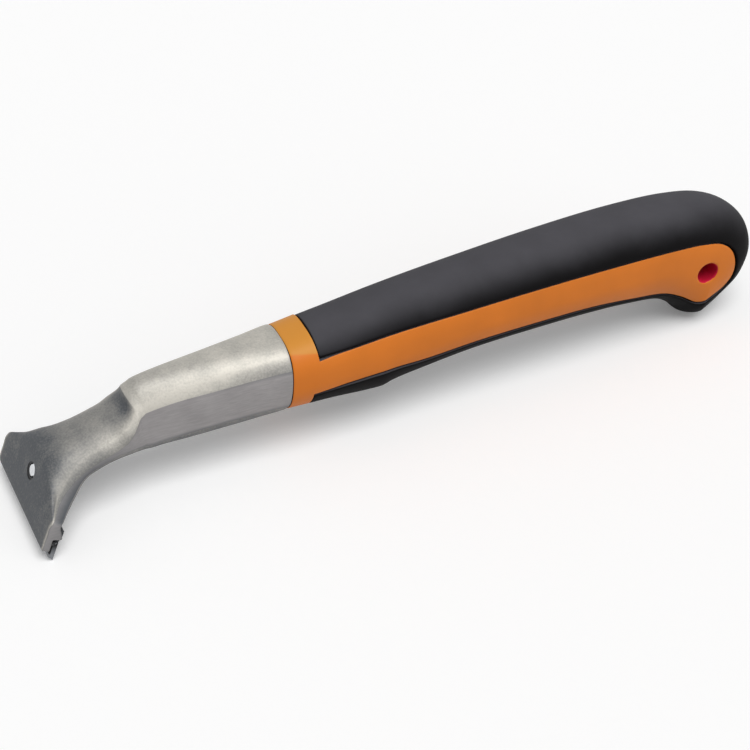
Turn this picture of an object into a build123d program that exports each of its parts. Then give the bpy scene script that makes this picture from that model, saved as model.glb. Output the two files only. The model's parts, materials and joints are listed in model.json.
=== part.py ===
from build123d import *
from math import copysign, cos, pi, radians, sin
import os

os.makedirs("parts", exist_ok=True)

# A pull-type paint scraper with a reversible 50 mm carbide blade and a two-component handle.
# Frame: Z up, floor at Z = 0, X from the blade towards the pommel, Y across the tool.
# The tool lies on its blade edge and on the hooked pommel.

# ---- driving dimensions, mm ----
collar = Vector(-45.6, 0, 29.8)       # centre of the joint between neck and handle
axis_fall = 5.55                      # the neck axis falls this much towards the pommel, degrees
squareness = 2.4                      # exponent of the handle's oval sections

head_width = 50.0                     # plate and blade, across
plate_centre = Vector(-134.8, 0, 18.2)  # screw hole on the plate's front face
plate_lean = 23.5                     # the plate's front face leans back from vertical, degrees

blade_thickness = 2.05
blade_bevel = 1.25
blade_gap = 0.05                      # between the blade and what holds it
seat_depth = 2.75                     # from the plate's front face back to the blade seat
seat_back = 5.65                      # from the plate's front face back to the rear of the casting there
shoulder = -9.4                       # roof of the slot that the blade's upper edge sits in
blade_top = -10.4                     # the blade's unused edge stays clear of the roof
boss_depth = 5.9                      # from the plate's front face back to the screw boss
boss_half_width = 11.0
hollow_half_width = 10.5              # hollow behind the boss, for the clamp's tongue and the screw head
hollow_depth = 30.0
hollow_top, hollow_bottom = 7.5, -20.0

clamp_width = 44.0
tongue_width = 19.0
clamp_front = 6.0
clamp_back = 8.4
jaw_back = 7.2
tongue_top, tongue_foot = 6.2, 9.2    # above and below the screw
tongue_corner = 2.5
tongue_play = 0.4                     # round the screw

screw_radius = 2.35
thread_bore = 2.5
countersink = 0.8
screw_tip = 1.0                       # the screw's end sits this far inside the front face
washer_thickness = 1.1
washer_radius = 4.6
washer_play = 0.35
washer_slit = 0.8
screw_head_radius = 4.75
screw_head_height = 2.75
screw_head_chamfer = 1.0
socket_across_flats = 3.0
socket_depth = 2.0

ring_length = 8.0
hang_hole_radius = 4.0
hang_hole_s, hang_hole_t = 160.8, 10.9
handle_reach = 20.0                   # a cut this far to each side goes through the handle
tang_length = 58.0
tang_front_size, tang_back_size = (13, 17), (8, 11)
tang_rise = 8.0                       # of the tang's back end above the axis
tang_hole_radius = 3.0
tang_holes = [(20, 3), (40, 5.5)]     # along and above the axis, where the plastic locks the tang

# Neck sections: distance along the axis, upper ridge (y, t), lower ridge (y, t), half width, top, bottom
neck_sections = [
    (0, (10.9, 9.8), (10.9, -9.9), 13.5, 14.3, -14.4),
    (-20, (9.8, 6.5), (10.6, -11.2), 11.5, 12.0, -16.0),
    (-40, (8.6, 3.4), (10.1, -13.1), 9.9, 9.6, -17.3),
    (-52.5, (8.0, 0.3), (9.6, -14.4), 9.2, 7.5, -17.6),
]

# Flare sections: x, crest (y, z), lower edge (y, z), top of the crown, middle of the underside
flare_sections = [
    (-92.0, (8.0, 33.5), (9.0, 20.5), 36.5, 17.0),
    (-98.5, (9.7, 33.0), (9.8, 20.3), 35.8, 17.4),
    (-102.0, (11.4, 30.0), (10.8, 20.8), 33.5, 18.0),
    (-106.0, (11.7, 27.7), (11.6, 21.0), 31.4, 18.6),
    (-110.5, (12.0, 25.9), (12.0, 20.6), 29.8, 18.8),
    (-118.4, (12.5, 23.6), (12.5, 18.4), 27.7, 17.4),
    (-121.8, (13.7, 22.3), (13.6, 17.0), 26.9, 16.4),
    (-126.3, (16.7, 20.4), (16.8, 15.5), 25.7, 15.0),
    (-130.0, (20.0, 18.4), (20.4, 14.3), 24.5, 13.9),
    (-133.6, (24.0, 16.4), (24.4, 13.0), 23.0, 12.7),
    (-136.5, (26.5, 14.9), (26.5, 12.2), 21.8, 12.0),
]

# Grip sections: distance along the axis, half width, top, bottom
grip_sections = [
    (ring_length, 14.0, 16.6, -14.5),
    (20, 14.1, 18.7, -14.1),
    (30, 14.3, 20.6, -14.6),
    (38, 14.4, 22.2, -12.9),
    (46, 14.5, 23.7, -10.7),
    (60, 14.6, 26.0, -7.9),
    (80, 14.8, 29.1, -5.1),
    (100, 15.0, 31.8, -3.3),
    (120, 15.1, 34.2, -2.2),
    (135, 15.1, 35.4, -2.3),
    (144, 15.0, 35.8, -3.4),
    (150, 14.9, 35.9, -5.6),
    (156, 14.8, 35.5, -10.9),
    (160, 14.5, 35.0, -13.5),
    (163.6, 14.3, 34.3, -14.1),
    (167, 14.1, 33.3, -12.8),
    (172, 13.5, 31.0, -8.4),
    (178, 12.2, 26.2, 0.2),
    (182, 10.2, 21.2, 4.6),
    (184.6, 7.2, 16.2, 7.0),
    (185.7, 3.5, 12.4, 9.2),
]
ring_sections = [(0, 13.5, 14.3, -14.4), (ring_length, 13.8, 15.4, -14.2)]
core_sections = [
    (4, 10.0, 11.2, -10.6),
    (30, 10.8, 17.2, -10.8),
    (60, 11.2, 22.4, -4.4),
    (100, 11.6, 28.2, 0.2),
    (135, 11.7, 31.8, 1.2),
    (150, 11.5, 32.0, 0.0),
    (162, 10.8, 30.0, -2.0),
    (172, 9.0, 26.0, 2.0),
]
panel_top = [(4, 8.4), (16.5, 9.9), (38.4, 13.4), (67.9, 17.4), (98.5, 21.6), (129, 24.4), (145, 25.5),
             (155, 24.9), (163.5, 22.8), (169.5, 19.2), (173, 12.5), (171.6, 4.2), (167, -2.4), (163, -5.4)]
panel_bottom = [(163, -5.4), (154.5, -0.3), (145.4, 4.2), (132.5, 6.2), (116.3, 5.7), (69.6, 2.4),
                (39, -0.1), (16.9, -3.3), (4, -4.3)]

# ---- planes and points ----
axis_dir = Vector(cos(radians(axis_fall)), 0, -sin(radians(axis_fall)))
plate_normal = Vector(cos(radians(plate_lean)), 0, -sin(radians(plate_lean)))
plate_up = Vector(sin(radians(plate_lean)), 0, cos(radians(plate_lean)))
handle_side = Plane(origin=collar, x_dir=axis_dir, z_dir=(0, -1, 0))
plate_side = Plane(origin=plate_centre, x_dir=plate_normal, z_dir=(0, -1, 0))


def across(s):
    """Plane square to the neck axis, s millimetres behind the collar."""
    return Plane(origin=collar + axis_dir * s, x_dir=(0, 1, 0), z_dir=axis_dir)


def behind_plate(depth):
    """Plane parallel to the plate's front face, this far behind it, with its x along Y."""
    return Plane(origin=plate_centre + plate_normal * depth, x_dir=(0, 1, 0), z_dir=plate_normal)


def oval(half_width, top, bottom):
    """Points of a squarish oval between a top and a bottom."""
    middle, half_height = (top + bottom) / 2, (top - bottom) / 2
    points = []
    for step in range(16):
        across_part, up_part = cos(step * pi / 8), sin(step * pi / 8)
        points.append((half_width * copysign(abs(across_part) ** (2 / squareness), across_part),
                       middle + half_height * copysign(abs(up_part) ** (2 / squareness), up_part)))
    return points


def oval_loft(sections):
    """Solid through the oval sections of the handle."""
    with BuildPart() as body:
        for s, half_width, top, bottom in sections:
            with BuildSketch(across(s)):
                with BuildLine():
                    Spline(oval(half_width, top, bottom), periodic=True)
                make_face()
        loft(ruled=True)
    return body.part


# ---- scraper head: cast neck, flare, plate with the blade seat, and the tang inside the handle ----
with BuildPart() as neck:
    for s, upper, lower, half_width, top, bottom in neck_sections:
        middle = (upper[1] + lower[1]) / 2
        with BuildSketch(across(s)):
            with BuildLine():
                ThreePointArc(upper, (0, top), (-upper[0], upper[1]))
                ThreePointArc((-upper[0], upper[1]), (-half_width, middle), (-lower[0], lower[1]))
                ThreePointArc((-lower[0], lower[1]), (0, bottom), lower)
                ThreePointArc(lower, (half_width, middle), upper)
            make_face()
    loft()

with BuildPart() as flare:
    for x, crest, edge, crown, under in flare_sections:
        with BuildSketch(Plane(origin=(x, 0, 0), x_dir=(0, 1, 0), z_dir=(1, 0, 0))):
            with BuildLine():
                ThreePointArc(crest, (0, crown), (-crest[0], crest[1]))
                Line((-crest[0], crest[1]), (-edge[0], edge[1]))
                ThreePointArc((-edge[0], edge[1]), (0, under), edge)
                Line(edge, crest)
            make_face()
    loft()
    split(bisect_by=behind_plate(0), keep=Keep.TOP)

with BuildPart() as scraper_head:
    add(neck.part)
    add(flare.part)
    # plate, with the wall and the shoulder that locate the blade
    with BuildSketch(plate_side):
        with BuildLine():
            Polyline((0, -3.0), (0, -13.0), (1.0, -14.8), (1.9, -15.3), (seat_depth, -15.3),
                     (seat_depth, shoulder), (seat_back, shoulder), (seat_back, -8.6), (4.6, -6.0),
                     (2.4, -3.5), (0.8, -2.6), close=True)
        make_face()
    extrude(amount=head_width / 2, both=True)
    # trim the flare to the plate's width
    with BuildSketch(Plane.XZ):
        with Locations((-80, 30)):
            Rectangle(140, 80)
    extrude(amount=head_width / 2, both=True, mode=Mode.INTERSECT)
    # boss behind the plate
    with BuildSketch(plate_side):
        with Locations(((1 + boss_depth) / 2, -2.3)):
            Rectangle(boss_depth - 1, 12.6)
    extrude(amount=boss_half_width, both=True)
    # hollow in the underside for the clamp's tongue and the screw head
    with BuildSketch(plate_side):
        with Locations((boss_depth + hollow_depth / 2, (hollow_top + hollow_bottom) / 2)):
            Rectangle(hollow_depth, hollow_top - hollow_bottom)
    extrude(amount=hollow_half_width, both=True, mode=Mode.SUBTRACT)
    # threaded hole
    with BuildSketch(behind_plate(-1)):
        Circle(thread_bore)
    extrude(amount=boss_depth + 2, mode=Mode.SUBTRACT)
    mouth = scraper_head.edges().filter_by(GeomType.CIRCLE)
    chamfer(mouth.sort_by(Axis(plate_centre, plate_normal))[0], countersink)
    # tang
    with BuildSketch(across(-3)):
        Rectangle(*tang_front_size)
    with BuildSketch(across(tang_length)):
        with Locations((0, tang_rise)):
            Rectangle(*tang_back_size)
    loft()
    with BuildSketch(handle_side):
        with Locations(*tang_holes):
            Circle(tang_hole_radius)
    extrude(amount=handle_reach, both=True, mode=Mode.SUBTRACT)
scraper_head.part.label = "scraper_head"
export_step(scraper_head.part, "parts/scraper_head.step")

# ---- handle: hard core with the ring and both side panels, soft grip around it ----
grip_outside = oval_loft(grip_sections)

with BuildPart() as panel:
    with BuildSketch(handle_side):
        with BuildLine():
            Spline(panel_top)
            Spline(panel_bottom)
            Line(panel_bottom[-1], panel_top[0])
        make_face()
    extrude(amount=handle_reach, both=True)
    add(grip_outside, mode=Mode.INTERSECT)

with BuildPart() as handle_core:
    add(oval_loft(core_sections))
    add(oval_loft(ring_sections))
    add(panel.part)
hard_body = handle_core.part

with BuildPart() as rubber_grip:
    add(grip_outside)
    add(hard_body, mode=Mode.SUBTRACT)
rubber_grip.part.label = "rubber_grip"
export_step(rubber_grip.part, "parts/rubber_grip.step")

with handle_core:
    add(scraper_head.part, mode=Mode.SUBTRACT)
    with BuildSketch(handle_side):
        with Locations((hang_hole_s, hang_hole_t)):
            Circle(hang_hole_radius)
    extrude(amount=handle_reach, both=True, mode=Mode.SUBTRACT)
handle_core.part.label = "handle_core"
export_step(handle_core.part, "parts/handle_core.step")

# ---- blade: solid carbide strip with two edges, standing on its lower edge ----
blade_front = seat_depth + blade_gap
blade_back = blade_front + blade_thickness
edge_v = (blade_back * sin(radians(plate_lean)) - plate_centre.Z) / cos(radians(plate_lean))

with BuildPart() as carbide_blade:
    with BuildSketch(plate_side):
        with BuildLine():
            Polyline((blade_back, edge_v), (blade_back, blade_top), (blade_front, blade_top - blade_bevel),
                     (blade_front, edge_v + blade_bevel), close=True)
        make_face()
    extrude(amount=head_width / 2, both=True)
carbide_blade.part.label = "carbide_blade"
export_step(carbide_blade.part, "parts/carbide_blade.step")

# ---- clamp plate: wide jaw on the blade, narrow tongue under the screw ----
jaw_face = blade_back + 2 * blade_gap

with BuildPart() as clamp_plate:
    with BuildSketch(plate_side):
        with BuildLine():
            Polyline((jaw_face, -14.9), (jaw_face + 0.5, -15.0), (jaw_back - 0.8, -12.6),
                     (jaw_back - 0.2, -10.6), (jaw_back, -9.4), (jaw_back, -7.6), (clamp_front, -7.6),
                     (clamp_front, -9.0), (jaw_face + 0.65, -9.9), (jaw_face, -10.6), close=True)
        make_face()
    extrude(amount=clamp_width / 2, both=True)
    with BuildSketch(behind_plate(clamp_front)):
        with Locations((0, (tongue_top - tongue_foot) / 2)):
            RectangleRounded(tongue_width, tongue_top + tongue_foot, tongue_corner)
    extrude(amount=clamp_back - clamp_front)
    with BuildSketch(behind_plate(clamp_front - 1)):
        Circle(screw_radius + tongue_play)
    extrude(amount=clamp_back - clamp_front + 2, mode=Mode.SUBTRACT)
clamp_plate.part.label = "clamp_plate"
export_step(clamp_plate.part, "parts/clamp_plate.step")

# ---- spring washer, split on one side ----
with BuildPart() as spring_washer:
    with BuildSketch(behind_plate(clamp_back)):
        Circle(washer_radius)
        Circle(screw_radius + washer_play, mode=Mode.SUBTRACT)
        with Locations((washer_radius, 0)):
            Rectangle(washer_radius, washer_slit, mode=Mode.SUBTRACT)
    extrude(amount=washer_thickness)
spring_washer.part.label = "spring_washer"
export_step(spring_washer.part, "parts/spring_washer.step")

# ---- clamp screw with a socket head ----
head_seat = clamp_back + washer_thickness + blade_gap

with BuildPart() as clamp_screw:
    with BuildSketch(behind_plate(screw_tip)):
        Circle(screw_radius)
    extrude(amount=head_seat - screw_tip + 0.5)
    with BuildSketch(behind_plate(head_seat)):
        Circle(screw_head_radius)
    extrude(amount=screw_head_height)
    rim = clamp_screw.edges().filter_by(GeomType.CIRCLE).group_by(SortBy.RADIUS)[-1]
    chamfer(rim.sort_by(Axis(plate_centre, plate_normal))[-1], screw_head_chamfer)
    with BuildSketch(behind_plate(head_seat + screw_head_height)):
        RegularPolygon(socket_across_flats / 2, 6, major_radius=False)
    extrude(amount=-socket_depth, mode=Mode.SUBTRACT)
clamp_screw.part.label = "clamp_screw"
export_step(clamp_screw.part, "parts/clamp_screw.step")
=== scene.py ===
import json
from functools import partial
from math import cos, pi, radians, sin

import bpy
import numpy as np
from bpy.props import FloatProperty, FloatVectorProperty, PointerProperty
from mathutils import Matrix, Vector


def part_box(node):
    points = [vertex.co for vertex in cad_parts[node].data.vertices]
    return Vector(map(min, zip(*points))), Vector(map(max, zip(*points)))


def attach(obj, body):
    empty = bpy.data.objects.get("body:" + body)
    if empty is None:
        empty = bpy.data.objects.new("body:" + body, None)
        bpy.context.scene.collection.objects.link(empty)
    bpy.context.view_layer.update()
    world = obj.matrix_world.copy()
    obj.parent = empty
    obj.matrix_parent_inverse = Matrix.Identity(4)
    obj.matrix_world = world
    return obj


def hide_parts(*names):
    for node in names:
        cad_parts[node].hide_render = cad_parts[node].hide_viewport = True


bl_info = {
    "name": "Paint Scraper",
    "version": (1, 0, 0),
    "blender": (4, 5, 0),
    "location": "3D View > Sidebar > Scraper",
    "description": "Builds the pieces and finishes of a pull-type paint scraper around its fixed frame",
    "category": "Object",
}

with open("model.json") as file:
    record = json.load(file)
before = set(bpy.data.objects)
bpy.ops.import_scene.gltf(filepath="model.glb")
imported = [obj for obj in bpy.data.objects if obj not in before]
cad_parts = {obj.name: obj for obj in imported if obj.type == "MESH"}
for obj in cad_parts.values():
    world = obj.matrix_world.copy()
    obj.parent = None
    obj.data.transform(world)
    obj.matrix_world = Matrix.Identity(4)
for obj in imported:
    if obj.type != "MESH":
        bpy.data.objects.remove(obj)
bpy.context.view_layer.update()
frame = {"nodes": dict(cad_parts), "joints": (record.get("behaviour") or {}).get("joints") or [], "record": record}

# ---------------- frame of the tool
MM = 0.001
AXIS_FALL = radians(5.55)              # the neck axis falls towards the pommel
AXIS = np.array([cos(AXIS_FALL), 0, -sin(AXIS_FALL)])
RISE = np.array([sin(AXIS_FALL), 0, cos(AXIS_FALL)])
COLLAR = np.array([-45.6, 0, 29.8])    # centre of the joint between neck and handle, mm

SCREW = next(joint for joint in frame["joints"] if joint["name"] == "screw_turn")
PLATE_CENTRE = np.array(SCREW["pos_m"]) / MM
PLATE_NORMAL = -np.array(SCREW["axis"])
PLATE_UP = np.array([-PLATE_NORMAL[2], 0, PLATE_NORMAL[0]])
HALF_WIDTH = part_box("scraper_head")[1][1] / MM
HANG_HOLE = frame["record"]["mounts"][0]
HANG_RADIUS = HANG_HOLE["dims"]["r_mm"]


def along(s, y, t):
    """Point of the handle: s along the neck axis, y across, t up from the axis. All in mm."""
    s, y, t = np.broadcast_arrays(np.asarray(s, float), y, t)
    return COLLAR + s[..., None] * AXIS + t[..., None] * RISE + y[..., None] * np.array([0, 1, 0])


def on_plate(u, v):
    """(x, z) of a point u behind the plate's front face and v up its slope, in mm."""
    place = PLATE_CENTRE + u * PLATE_NORMAL + v * PLATE_UP
    return place[0], place[2]


# turns a piece made round Z, with Z = 0 on the plate's front face, to the screw's line
SCREW_PLACE = Matrix((
    (-PLATE_UP[0], 0, PLATE_NORMAL[0], PLATE_CENTRE[0] * MM), (0, 1, 0, 0),
    (-PLATE_UP[2], 0, PLATE_NORMAL[2], PLATE_CENTRE[2] * MM), (0, 0, 0, 1)))

HOLE_FROM_COLLAR = np.array(HANG_HOLE["pos_m"]) / MM - COLLAR
HOLE_S = float(HOLE_FROM_COLLAR @ AXIS)
HOLE_T = float(HOLE_FROM_COLLAR @ RISE)

# ---------------- shape of the casting, mm
# One row of points for each station from the collar to the plate's lower edge:
# crest (x, y, z) where the top meets the side, crown (x, z) on the centre line,
# lower edge (x, y, z) of the side, keel (x, z) under the centre line, bulge of the side,
# then how polished the metal is on the centre line and on the crest, from 0 to 1: partly real wear and partly
# painted light and shade, pale on the neck's top and crests where the light falls, dark on the step's wall, the
# flare and the plate, which face away from it.
NECK = [
    ((-44.8, 11.4, 39.3), (-44.4, 43.1), (-46.5, 10.1, 20.2), (-46.9, 15.8), 2.6, 0.75, 0.9),
    ((-45.1, 11.7, 39.6), (-44.7, 43.4), (-46.8, 10.4, 19.9), (-47.2, 15.5), 2.6, 0.75, 1.0),
    ((-56.0, 10.7, 38.9), (-56.0, 43.7), (-57.0, 10.7, 20.3), (-57.0, 15.2), 1.7, 0.8, 1.0),
    ((-70.0, 9.6, 37.8), (-70.0, 43.6), (-70.0, 10.6, 20.7), (-70.0, 15.1), 0.9, 0.8, 1.0),
    ((-83.9, 8.7, 37.0), (-84.5, 43.2), (-83.0, 10.3, 20.9), (-83.0, 15.4), 0.4, 0.75, 1.0),
    ((-92.0, 8.25, 36.0), (-92.5, 42.7), (-91.0, 9.8, 20.7), (-91.0, 15.9), 0.3, 0.7, 1.0),
    ((-95.4, 8.15, 35.4), (-96.8, 41.9), (-94.6, 9.7, 20.5), (-94.6, 16.2), 0.3, 0.7, 1.0),
    ((-95.7, 8.15, 35.3), (-97.2, 41.6), (-95.2, 9.6, 20.4), (-95.2, 16.3), 0.3, 0.75, 1.0),
]
STEP = [
    ((-97.6, 8.6, 34.7), (-100.2, 39.5), (-97.0, 9.5, 20.4), (-97.0, 16.6), 0.3, 0.75, 1.0),
    ((-97.8, 8.7, 34.6), (-100.4, 39.2), (-97.3, 9.5, 20.4), (-97.3, 16.6), 0.3, 0.2, 1.0),
    ((-98.7, 9.4, 33.7), (-101.1, 37.1), (-98.4, 9.6, 20.4), (-98.4, 16.8), 0.3, 0.0, 0.95),
    ((-99.6, 10.1, 32.6), (-101.9, 35.7), (-99.6, 9.7, 20.4), (-99.6, 17.0), 0.3, 0.0, 0.9),
    ((-100.8, 10.9, 31.3), (-103.0, 34.7), (-101.0, 10.0, 20.6), (-101.0, 17.1), 0.3, 0.1, 0.9),
]
FLARE = [
    ((-102.6, 11.6, 29.8), (-104.9, 33.6), (-103.5, 10.8, 21.0), (-103.0, 17.5), 0.3, 0.3, 0.85),
    ((-105.9, 11.7, 27.7), (-107.5, 32.4), (-107.4, 11.7, 21.3), (-107.4, 18.2), 0.2, 0.35, 0.8),
    ((-110.5, 12.0, 25.9), (-112.0, 31.0), (-111.0, 11.9, 20.8), (-111.0, 18.3), 0.2, 0.4, 0.75),
    ((-114.7, 12.1, 24.7), (-116.2, 29.9), (-114.7, 12.0, 19.6), (-114.7, 17.8), 0.2, 0.35, 0.65),
    ((-118.4, 12.5, 23.6), (-120.2, 28.9), (-118.5, 12.5, 18.4), (-118.5, 17.0), 0.2, 0.3, 0.6),
    ((-122.9, 13.7, 21.9), (-123.6, 28.0), (-121.0, 13.4, 17.0), (-121.5, 16.2), 0.2, 0.2, 0.55),
    ((-128.1, 16.4, 19.8), (-127.2, 26.8), (-124.1, 16.0, 15.6), (-125.0, 15.2), 0.2, 0.1, 0.5),
    ((-131.5, 19.2, 17.8), (-129.9, 25.4), (-127.3, 19.2, 14.6), (-127.6, 14.6), 0.1, 0.05, 0.5),
    ((-133.4, 22.2, 16.5), (-131.5, 24.0), (-129.8, 22.0, 14.0), on_plate(5.6, -3.0), 0.1, 0.0, 0.45),
    ((-134.6, 24.3, 15.7), (-132.7, 22.2), (-131.7, 24.3, 13.6), on_plate(5.8, -5.0), 0.1, 0.0, 0.4),
    ((-135.5, 25.0, 15.1), (-133.6, 20.2), (-132.8, 25.0, 12.8), on_plate(5.8, -6.5), 0.0, 0.0, 0.35),
]


def plate_row(front, back, half_width=25.0):
    """Row of the plate itself, from its place (u, v) on the front face and on the back."""
    (front_x, front_z), (back_x, back_z) = on_plate(*front), on_plate(*back)
    return ((front_x, half_width, front_z), (front_x, front_z),
            (back_x, half_width, back_z), (back_x, back_z), 0.0, 0.0, 0.3)


PLATE = [
    plate_row((0.0, -4.6), (4.6, -6.2)),
    plate_row((0.0, -7.6), (5.65, -8.4)),
    plate_row((0.0, -8.6), (5.65, -9.3)),
    plate_row((0.0, -8.8), (5.55, -9.4)),
    plate_row((0.0, -9.8), (2.85, -9.4)),
    plate_row((0.0, -10.0), (2.75, -9.5)),
    plate_row((0.0, -12.4), (2.75, -13.8)),
    plate_row((0.1, -13.6), (2.7, -14.6), 24.7),
    plate_row((0.5, -14.6), (2.55, -15.0), 24.1),
    plate_row((1.2, -15.1), (2.1, -15.3), 23.1),
]
# steps of the skin from each row to the next: neck, step, flare and plate
HEAD_GAPS = ([2] + [8] * 3 + [7, 3, 2, 4] + [2, 5, 4, 4, 4]
             + [5] * 10 + [4] + [4, 3, 1, 4, 1, 5, 3, 3, 3])

# What changes along the casting, as places in x and the value at each of them:
# the exponent of the top's cross-section,
FLANK = ([-133, -126, -118, -97, -80, -65, -45], [2.6, 3.3, 2.5, 2.3, 2.5, 2.8, 2.9])
# how much of the crest's lighter tone is left where it meets the side, partly real wear and partly a painted
# highlight,
CORNER_FADE = ([-128, -105, -97, -85, -45], [0.55, 0.55, 1.0, 1.0, 0.4])
# how much of the crest there is, as it dies out into the plate's thin rim, which is painted lighter as a painted
# highlight,
RIM_FADE = ([-133, -129], [0.25, 1.0])
# how light the sides' flats are: 1 on the neck's ground flats, lower on the flare, whose sides are painted darker
# towards their lower edge as painted shade,
GROUND_AND_SHADE = ([-133.5, -132.7, -118, -100], [0.75, 0.1, 0.3, 1.0])
# and how many times the crest radius the crest is rounded.
CREST_FADE = ([-128, -118, -105, -97, -45], [1.0, 2.2, 2.2, 1.0, 2.6])
UNDER_POWER = 2.3                      # exponent of the underside's cross-section

# ---------------- blade and clamp, mm from the plate's face
BLADE_FACES = (2.8, 4.85)
BLADE_EDGES = (-17.74, -10.4)
BLADE_BEVEL = 1.25
JAW_HALF_WIDTH = 22
# sizes and centres down the slope, across and behind the face
TONGUE, TONGUE_PLACE = (15.4, 19, 2.4), (1.5, 0, 7.2)
HOLLOW, HOLLOW_PLACE = (27.5, 21, 30), (6.25, 0, 20.9)
BORE_RADIUS, MOUTH_RADIUS, CLEARANCE_RADIUS = 2.5, 3.7, 2.75
DARK_RADIUS, DARK_DEPTH = 3.4, 6       # how far the bore's painted shade reaches
THREAD_PITCH, THREAD_RADIUS, THREAD_DEPTH = 0.8, 2.35, 0.42
SCREW_TIP, SCREW_SEAT = 0.5, 9.55
SCREW_HEAD_RADIUS, SCREW_HEAD_HEIGHT = 4.75, 2.75
SOCKET_RADIUS, SOCKET_FLOOR = 1.73, 0.75

# ---------------- shape of the handle, mm
# (s, t) points of the outline on the middle plane, from the ring over the top, round the pommel
# and back under the handle, each with the point of the side panel's border that it faces.
RING_END = 8.0
UPPER_FRONT = (9.45, 8.8)              # where the soft grip starts: at the panel, and on the outline
LOWER_FRONT = (7.8, 7.6)
PROFILE_AND_BORDER = [
    ((8, 15.6), (8, 8.8)), ((20.1, 18.1), (20, 10.4)), ((38, 21.9), (38.4, 13.5)),
    ((67.1, 26.8), (67.9, 17.1)), ((98, 31.4), (98.6, 20.4)),
    ((129, 34.8), (129, 22.8)), ((150, 35.5), (147.6, 23.6)),
    ((164, 34.2), (157.4, 23.4)), ((173.6, 30.1), (164.9, 22.0)), ((180.8, 23.3), (170.1, 18.2)),
    ((184.3, 14.3), (172.8, 12.3)), ((183.6, 6.8), (173.1, 6.4)), ((180.7, 0), (170.5, 1.5)),
    ((173.7, -7.3), (165.2, -1.4)), ((169.2, -11.2), (162.7, -2.7)), ((164.9, -13.9), (161.1, -3.2)),
    ((158.7, -12.7), (158.8, -2.9)), ((152.8, -7.6), (153.4, 0.3)), ((145.1, -3.5), (145.4, 3.7)),
    ((132, -2.4), (132.4, 4.8)), ((116, -2.6), (116.3, 5.9)), ((92, -4.3), (92, 4.6)),
    ((69, -6.7), (69.6, 2.6)), ((50.1, -10.3), (50, 0.2)), ((40.6, -12.5), (40, -0.2)),
    ((36.6, -14.1), (36.5, -0.5)), ((30, -14.5), (30, -1.2)), ((17, -14.3), (17, -3.0)),
    ((8, -14.5), (8, -4.1)),
]
BORDER_GAPS = [6, 8, 10, 10, 10, 9, 9, 9, 9, 9, 8, 8, 9, 7, 7, 7, 7, 8, 8, 8, 10, 10, 9, 6, 5, 5, 8, 6]
MIDDLE = ([0, 38, 90, 150, 185], [1, 4.5, 13, 15, 12])  # height of the middle of the handle's side
# half width of the side
SIDE_WIDTH = ([-20, 8, 38, 90, 120, 150, 170, 190], [13.2, 14.2, 14.7, 15.1, 15.3, 15.2, 14.8, 14.3])
# how far in from the outline the side takes to reach its full width
ROUND_DEPTH = ([-20, 8, 38, 60, 100, 135, 150, 170, 190],
               [14.2, 15.2, 17.0, 16.6, 17.2, 18.2, 18.6, 17.6, 16.8])
UPPER_RING, LOWER_RING = 2.9, 2.0      # exponents of the ring's section
WALL = 1.7                             # depth of the groove round the panel
CORE_WALL, GRIP_WALL = 1.6, 1.5
RING_REACH, GRIP_REACH = 14, 15        # how far the rounded fronts are from the middle they shrink to
GRIP_MIDDLE = 1.0                      # height of that middle in the grip
# how deep each edge is rounded, at some distances in from it
PANEL_LIP = ([0.0, 0.06, 0.16, 0.32], [0.24, 0.1, 0.03, 0.0])
GRIP_LIP = ([0.0, 0.1, 0.25, 0.45, 0.7, 0.95], [0.85, 0.48, 0.26, 0.11, 0.03, 0.0])
FRONT_LIP = ([0.0, 0.06, 0.15, 0.3, 0.55], [0.4, 0.22, 0.1, 0.03, 0.0])


# ---------------- tools for shapes
def curve(points, gaps):
    """Smooth path through points, with that many steps in each gap between two of them."""
    points = np.array(points, float)
    points = np.vstack([2 * points[0] - points[1], points, 2 * points[-1] - points[-2]])
    lengths = np.maximum(np.linalg.norm(np.diff(points, axis=0), axis=1), 1e-6)
    knots = np.concatenate([[0], np.cumsum(lengths ** 0.5)])
    path = []
    for index, steps in enumerate(gaps):
        p0, p1, p2, p3 = points[index:index + 4]
        k0, k1, k2, k3 = knots[index:index + 4]
        for step in range(steps):
            k = k1 + (k2 - k1) * step / steps
            a = (k1 - k) / (k1 - k0) * p0 + (k - k0) / (k1 - k0) * p1
            b = (k2 - k) / (k2 - k1) * p1 + (k - k1) / (k2 - k1) * p2
            c = (k3 - k) / (k3 - k2) * p2 + (k - k2) / (k3 - k2) * p3
            d = (k2 - k) / (k2 - k0) * a + (k - k0) / (k2 - k0) * b
            e = (k3 - k) / (k3 - k1) * b + (k - k1) / (k3 - k1) * c
            path.append((k2 - k) / (k2 - k1) * d + (k - k1) / (k2 - k1) * e)
    path.append(points[-2])
    return np.array(path)

def select_only(piece):
    """Makes one object the selected and active one."""
    bpy.ops.object.select_all(action="DESELECT")
    piece.select_set(True)
    bpy.context.view_layer.objects.active = piece


def primitive(name, add, **settings):
    """New primitive of that name, with nothing else selected."""
    bpy.ops.object.select_all(action="DESELECT")
    add(**settings)
    piece = bpy.context.object
    piece.name = piece.data.name = name
    return piece


def skin(name, places, polish=None):
    """Grid primitive with its vertices moved to places, an array of rows x columns x 3 in mm."""
    rows, columns = places.shape[:2]
    piece = primitive(name, bpy.ops.mesh.primitive_grid_add,
                      x_subdivisions=columns - 1, y_subdivisions=rows - 1, size=2)
    piece.data.vertices.foreach_set("co", (places * MM).astype(np.float32).ravel())
    if polish is not None:
        layer = piece.data.attributes.new("polish", "FLOAT", "POINT")
        layer.data.foreach_set("value", polish.astype(np.float32).ravel())
    piece.data.update()
    return piece


def finish_strips(piece, places, rows, columns, index):
    """Gives some rows and columns of faces of a grid the material of that index."""
    finish = np.zeros((places.shape[0] - 1, places.shape[1] - 1), int)
    finish[rows] = index
    finish[:, columns] = index
    piece.data.polygons.foreach_set("material_index", finish.ravel())
    return piece


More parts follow.
